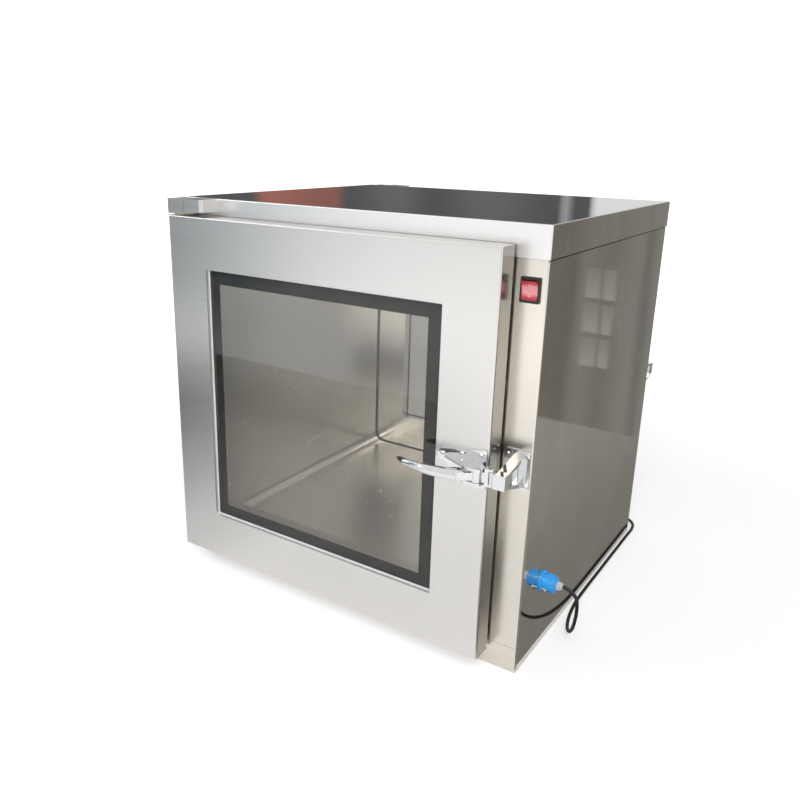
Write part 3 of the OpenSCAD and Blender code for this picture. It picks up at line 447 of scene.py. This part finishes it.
# Five turns of a level winding: three on the ground, two on top of them. Each stage is the angle
# wound so far in degrees, the turn's radius and its layer.
WINDING = [(0, OUTER, 0), (300, OUTER, 0), (360, MIDDLE, 0), (660, MIDDLE, 0), (720, INNER, 0),
           (960, INNER, 0), (1020, INNER, 1), (1260, INNER, 1), (1320, MIDDLE, 1),
           (1620, MIDDLE, 1), (1680, OUTER, 1), (1800, OUTER, 1)]
WINDING_STEP = 10
# From the coil up into the plug: (x from the coil's centre, z).
TO_PLUG = [(-5, 7.9), (-10, 9.0), (-15, 10.4), (-20, 11.0), (-26, 11.2)]
CURVE_STEPS = 5


def smooth(points, steps):
    """A Catmull-Rom curve through the points, with so many steps from each to the next."""
    out = []
    last = len(points) - 1
    for i in range(last):
        a, b = points[max(i - 1, 0)], points[i]
        c, d = points[i + 1], points[min(i + 2, last)]
        for k in range(steps):
            u = k / steps
            out.append(0.5 * (2 * b + (c - a) * u + (2 * a - 5 * b + 4 * c - d) * u * u
                              + (3 * b - a - 3 * c + d) * u ** 3))
    out.append(points[last])
    return out


def winding_at(deg):
    """The turn's radius and layer at an angle, eased from stage to stage."""
    for (a0, r0, l0), (a1, r1, l1) in zip(WINDING, WINDING[1:]):
        if a0 <= deg <= a1:
            u = (deg - a0) / (a1 - a0)
            u = u * u * (3 - 2 * u)
            found = r0 + (r1 - r0) * u, l0 + (l1 - l0) * u
    return found


def cord_route():
    pts = [Vector((GLAND_X1 - GLAND_GRIP, INLET_Y, INLET_Z))]
    pts += [Vector((HALF_W + x, INLET_Y + y, max(INLET_Z + z, CORD_Z))) for x, y, z in DROP]
    pts += [Vector((HALF_W + x, HALF_D + y, CORD_Z)) for x, y in GROUND]
    pts += [Vector((COIL_X + LEAD_IN, LANE, CORD_Z))]
    line = smooth(pts, CURVE_STEPS)
    for deg in range(0, WINDING[-1][0] + 1, WINDING_STEP):
        r, layer = winding_at(deg)
        a = math.radians(-90 - deg)
        line.append(Vector((COIL_X + r * math.cos(a), COIL_Y + r * math.sin(a),
                            CORD_Z + CORD_D * layer)))
    line += [Vector((COIL_X + x, LANE, z)) for x, z in TO_PLUG]
    return [p * MM for p in line]


def make_curve(name, points, radius, material):
    data = bpy.data.curves.new(name, "CURVE")
    data.dimensions = "3D"
    sp = data.splines.new("POLY")
    sp.points.add(len(points) - 1)
    for p, q in zip(sp.points, points):
        p.co = (*q, 1)
    data.bevel_depth = radius
    data.bevel_resolution = 4
    data.use_fill_caps = True
    data.materials.append(material)
    o = bpy.data.objects.new(name, data)
    scene.collection.objects.link(o)
    return o


route = cord_route()
cord = make_curve("mains_lead", route, CORD_D / 2 * MM, mats["pvc"])
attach(cord, "cabinet")
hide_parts("power_cord", "cord_coil")


# ---------------------------------------------------------------- edges of the sheet

def bevel(name, width, segments=2, angle=35):
    """Rounds a node's sharp edges by a width in millimetres."""
    b = nodes[name].modifiers.new("edges", "BEVEL")
    b.width = width * MM
    b.segments = segments
    b.limit_method = "ANGLE"
    b.angle_limit = math.radians(angle)
    b.harden_normals = False


for side in ("front", "rear"):
    bevel(side + "_frame", 0.9, 3)
    bevel(side + "_door_skin", 0.5)
    bevel(side + "_hinge_brackets", 0.5)
    bevel(side + "_latch_base", 0.6)
    bevel(side + "_strike", 0.6)
    bevel(side + "_latch_lever", 0.4, angle=50)
bevel("base_pan", 0.5)
bevel("top_cap", 0.3)
bevel("switch_body", 0.3)
bevel("switch_rocker", 0.4)
bevel("mains_plug", 0.6)


# ---------------------------------------------------------------- marks on the rocker

MARK_PROUD, MARK_SUNK = 0.12 * MM, 0.05 * MM
RING_OUTER, RING_INNER, RING_POINTS = 1.9 * MM, 1.4 * MM, 28
BAR_HALF_W, BAR_HALF_H = 0.3, 1.9
# Where the marks' middles are, as shares of the rocker's height from its lower and upper ends.
OFF_SHARE, ON_SHARE = 0.24, 0.22


def raised_mark(name, loops, host, body, finish):
    """A flat sign that stands proud of a face that looks along -Y. Its outline is one loop of
    (x, z) points, or an outer and an inner loop with as many points each."""
    me = nodes[host].data
    tree = BVHTree.FromPolygons([v.co for v in me.vertices], [p.vertices for p in me.polygons])
    bm = bmesh.new()
    rows = []
    for loop in loops:
        seats = [tree.ray_cast(Vector((x, -1, z)), Vector((0, 1, 0)))[0] for x, z in loop]
        for lift in (-MARK_PROUD, MARK_SUNK):
            rows.append([bm.verts.new(p + Vector((0, lift, 0))) for p in seats])
    count = len(loops[0])
    pairs = [(rows[0], rows[1])]
    if len(loops) > 1:
        pairs += [(rows[3], rows[2]), (rows[2], rows[0]), (rows[1], rows[3])]
    else:
        bm.faces.new(rows[0])
        bm.faces.new(rows[1][::-1])
    for a, b in pairs:
        for i in range(count):
            j = (i + 1) % count
            bm.faces.new((a[i], a[j], b[j], b[i]))
    bmesh.ops.recalc_face_normals(bm, faces=bm.faces)
    out = bpy.data.meshes.new(name)
    bm.to_mesh(out)
    bm.free()
    out.materials.append(mats[finish])
    o = bpy.data.objects.new(name, out)
    scene.collection.objects.link(o)
    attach(o, body)


def ring(x, z, r):
    turns = [2 * math.pi * i / RING_POINTS for i in range(RING_POINTS)]
    return [(x + r * math.cos(a), z + r * math.sin(a)) for a in turns]


def bar(x, z):
    corners = ((-1, -1), (1, -1), (1, 1), (-1, 1))
    return [(x + a * BAR_HALF_W * MM, z + b * BAR_HALF_H * MM) for a, b in corners]


rocker_low, rocker_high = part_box("switch_rocker")
rocker_x = (rocker_low[0] + rocker_high[0]) / 2
rocker_h = rocker_high[2] - rocker_low[2]
off_z = rocker_low[2] + OFF_SHARE * rocker_h
on_z = rocker_high[2] - ON_SHARE * rocker_h
raised_mark("switch_mark_off", [ring(rocker_x, off_z, RING_OUTER), ring(rocker_x, off_z, RING_INNER)],
            "switch_rocker", "rocker", "white")
raised_mark("switch_mark_on", [bar(rocker_x, on_z)], "switch_rocker", "rocker", "white")


# ---------------------------------------------------------------- studio

FLOOR_HALF = 14
FLOOR_Z = -0.0004
# The floor's glow, and how much it gains between two distances from the object.
FLOOR_GLOW, FLOOR_GAIN, FLOOR_START, FLOOR_END = 0.44, 0.45, 0.6, 2.2
FLOOR_IN_METAL, FLOOR_IN_GLASS = 0.72, 0.3
# Cards on the floor lie between it and the object.
FLOOR_CARD_Z = 0.0003


def pale_floor(diffuse):
    """A diffuse floor with a glow of its own. To the camera and in polished surfaces the glow
    grows with distance, so that the floor meets the white background."""
    mat, tree, surface = empty_material("floor")
    body = tree.new("ShaderNodeBsdfDiffuse")
    body.inputs["Color"].default_value = rgba(diffuse)
    glow = tree.new("ShaderNodeEmission")
    path = tree.new("ShaderNodeLightPath").outputs
    reach = tree.new("ShaderNodeVectorMath", operation="LENGTH")
    tree.link(tree.coords(), reach.inputs[0])
    grown = tree.span(reach.outputs["Value"], FLOOR_GLOW, FLOOR_GLOW + FLOOR_GAIN,
                      FLOOR_START, FLOOR_END, interpolation_type="SMOOTHSTEP")
    seen = tree.math("MULTIPLY", path["Is Camera Ray"], grown)
    in_metal = tree.math("MULTIPLY", path["Is Glossy Ray"], tree.math("MULTIPLY", grown, FLOOR_IN_METAL))
    in_glass = tree.math("MULTIPLY", path["Is Transmission Ray"], FLOOR_IN_GLASS * FLOOR_GLOW)
    total = tree.math("ADD", tree.math("ADD", seen, in_metal), in_glass)
    tree.link(total, glow.inputs["Strength"])
    add = tree.new("ShaderNodeAddShader")
    tree.link(body.outputs["BSDF"], add.inputs[0])
    tree.link(glow.outputs["Emission"], add.inputs[1])
    tree.link(add.outputs["Shader"], surface)
    return mat


def quad(name, corners, mat):
    bm = bmesh.new()
    bm.faces.new([bm.verts.new(c) for c in corners])
    me = bpy.data.meshes.new(name)
    bm.to_mesh(me)
    bm.free()
    me.materials.append(mat)
    o = bpy.data.objects.new(name, me)
    scene.collection.objects.link(o)
    return o


quad("floor", [(x * FLOOR_HALF, y * FLOOR_HALF, FLOOR_Z) for x, y in ((-1, -1), (1, -1), (1, 1), (-1, 1))],
     pale_floor((0.72, 0.72, 0.72)))


def card(name, corners, stops, axis=0, fade=None, through=False):
    """A board that shows only in reflections, or only through glass. It is graded along one of
    its axes, and fade thins it out along another: (axis, where it starts, where it ends)."""
    mat, tree, surface = empty_material(name)
    light = tree.new("ShaderNodeEmission")
    clear = tree.new("ShaderNodeBsdfTransparent")
    axes = tree.axes("Generated")
    color = tree.ramp(axes[axis], stops, "EASE")
    tree.link(color, light.inputs["Color"])
    share = color.node.outputs["Alpha"]
    if fade:
        share = tree.math("MULTIPLY", share, tree.span(axes[fade[0]], 0.0, 1.0, fade[1], fade[2]))
    tree.link(tree.mix_shader(share, clear.outputs["BSDF"], light.outputs["Emission"]), surface)
    o = quad(name, corners, mat)
    o.visible_camera = False
    o.visible_diffuse = False
    o.visible_glossy = not through
    o.visible_transmission = through
    o.visible_shadow = False


def upright_card(name, y, x0, x1, z0, z1, stops, axis=0, fade=None):
    card(name, [(x0, y, z0), (x1, y, z0), (x1, y, z1), (x0, y, z1)], stops, axis, fade)


def floor_card(name, x0, x1, y0, y1, stops, through=False):
    z = FLOOR_CARD_Z
    card(name, [(x0, y0, z), (x1, y0, z), (x1, y1, z), (x0, y1, z)], stops, through=through)


# Each card's stops are (place along the card, colour), and a fourth number in a colour is its
# alpha. They were placed and shaded so that the polished faces come near what the photo
# shows them mirror: a reddish patch and a bright end in the top, a pale grid in the right side.
DARK = (0.10, 0.10, 0.105)
DIM = (0.145, 0.145, 0.15)
BLACK = (0.03, 0.03, 0.03)

# For the top.
upright_card("board_behind", 2.2, -4.2, 0.7, 0.35, 1.9,
             [(0.0, (0.2, 0.19, 0.19)), (0.36, DARK), (0.39, (0.36, 0.15, 0.12)),
              (0.48, (0.27, 0.12, 0.10)), (0.50, DARK), (0.56, DIM), (0.60, DARK), (0.66, DIM),
              (0.726, DARK), (0.733, (0.36, 0.36, 0.37)), (0.742, DARK), (0.754, DARK),
              (0.760, (0.80, 0.80, 0.79)), (1.0, (0.74, 0.74, 0.73))])

# For the right side: a board, six pale panes in front of it, and the ground before it.
upright_card("board_right", 0.75, 0.30, 2.6, 0.0, 1.9,
             [(0.0, (0.34, 0.33, 0.31)), (0.055, (0.29, 0.28, 0.255)), (0.062, (0.20, 0.195, 0.18)),
              (0.072, (0.29, 0.28, 0.25)), (0.10, (0.235, 0.225, 0.20)), (0.128, (0.28, 0.265, 0.24)),
              (0.14, (0.20, 0.185, 0.16)), (0.2, (0.225, 0.21, 0.185)), (1.0, (0.22, 0.21, 0.19))])
PANE_Y, PANE_W, PANE_H = 0.745, 0.032, 0.072
for i, x0 in enumerate((0.51, 0.55)):
    for k, z0 in enumerate((0.16, 0.245, 0.33)):
        upright_card("pane_%d_%d" % (i, k), PANE_Y, x0, x0 + PANE_W, z0, z0 + PANE_H,
                     [(0.0, (0.42, 0.40, 0.36)), (1.0, (0.32, 0.305, 0.275))], axis=2)
floor_card("board_floor", 0.30, 2.6, -0.6, 0.75,
           [(0.0, (0.24, 0.23, 0.205)), (0.12, (0.36, 0.345, 0.315)), (0.5, (0.30, 0.285, 0.26)),
            (1.0, (0.4, 0.39, 0.37))])

# For the front glass and the left part of the front door.
upright_card("board_left", -1.25, -2.8, -0.62, 0.0, 1.6,
             [(0.0, (0.08, 0.09, 0.09)), (0.66, (0.10, 0.11, 0.11)), (0.78, (0.36, 0.47, 0.54)),
              (0.9, (0.7, 0.76, 0.79, 0.45)), (1.0, (0.9, 0.9, 0.9, 0.0))], fade=(2, -0.02, 0.12))
floor_card("board_left_floor", -2.8, -0.16, -1.25, -0.28,
           [(0.0, (0.06, 0.065, 0.06)), (0.72, (0.07, 0.075, 0.07)), (0.84, (0.26, 0.27, 0.27, 0.8)),
            (0.93, (0.45, 0.45, 0.45, 0.45)), (1.0, (0.6, 0.6, 0.6, 0.0))])

# Seen through glass only, on the ground behind.
floor_card("board_beyond", -4.0, 3.0, 0.30, 4.0,
           [(0.0, (0.26, 0.25, 0.235)), (1.0, (0.33, 0.32, 0.30))], through=True)

# Two dark strips in front, for the chrome.
for name, x0, x1 in (("flag_right", 1.25, 1.6), ("flag_middle", 0.35, 0.5)):
    upright_card(name, -2.3, x0, x1, 0.0, 1.4, [(0.0, BLACK), (1.0, BLACK)])


def area(name, location, size, power, color):
    """A soft square light that looks at the object's middle."""
    data = bpy.data.lights.new(name, "AREA")
    data.shape = "RECTANGLE"
    data.size = data.size_y = size
    data.energy = power
    data.color = color
    o = bpy.data.objects.new(name, data)
    o.location = location
    o.rotation_mode = "QUATERNION"
    o.rotation_quaternion = (Vector((0, 0, 0.3)) - Vector(location)).to_track_quat("-Z", "Y")
    scene.collection.objects.link(o)


area("key", (1.2, -2.2, 2.4), 1.6, 38, (1.0, 0.985, 0.96))
area("fill", (-2.4, -1.6, 1.9), 1.8, 20, (0.93, 0.97, 1.0))

SOFT_LIGHT = 0.6
# The room's grades against height, and the walls in front of the object.
ROOM = [(0.18, 0.85), (0.30, (0.16, 0.16, 0.165)), (0.58, (0.30, 0.30, 0.31)), (0.78, 1.15)]
FRONT_WALLS = (0.88, 0.87, 0.86)
THROUGH_GLASS = (0.42, 0.40, 0.38)


def make_world():
    """White to the camera, one grey through glass and a room in reflections, which is dim
    behind the object only. Everything else gets a soft white light."""
    world = bpy.data.worlds.new("world")
    scene.world = world
    world.use_nodes = True
    tree = Tree(world.node_tree)

    def background(color):
        n = tree.new("ShaderNodeBackground")
        tree.put(n.inputs["Color"], color)
        return n.outputs["Background"]

    soft = tree.t.nodes["Background"]
    soft.inputs["Color"].default_value = rgba(1)
    soft.inputs["Strength"].default_value = SOFT_LIGHT
    path = tree.new("ShaderNodeLightPath").outputs
    axes = tree.axes("Generated")
    noise = tree.new("ShaderNodeTexNoise")
    noise.inputs["Scale"].default_value = 2.6
    noise.inputs["Detail"].default_value = 1.0
    tree.link(tree.coords("Generated"), noise.inputs["Vector"])
    uneven = tree.math("MULTIPLY_ADD", noise.outputs["Fac"], 0.5, axes["Z"])
    ahead = tree.span(axes["Y"], 0.0, 1.0, 0.2, -0.25)
    room = tree.mix(ahead, tree.ramp(uneven, ROOM), FRONT_WALLS)
    last = soft.outputs["Background"]
    for ray, color in (("Is Glossy Ray", room), ("Is Transmission Ray", rgba(THROUGH_GLASS)),
                       ("Is Camera Ray", rgba(1))):
        last = tree.mix_shader(path[ray], last, background(color))
    tree.link(last, tree.t.nodes["World Output"].inputs["Surface"])


make_world()
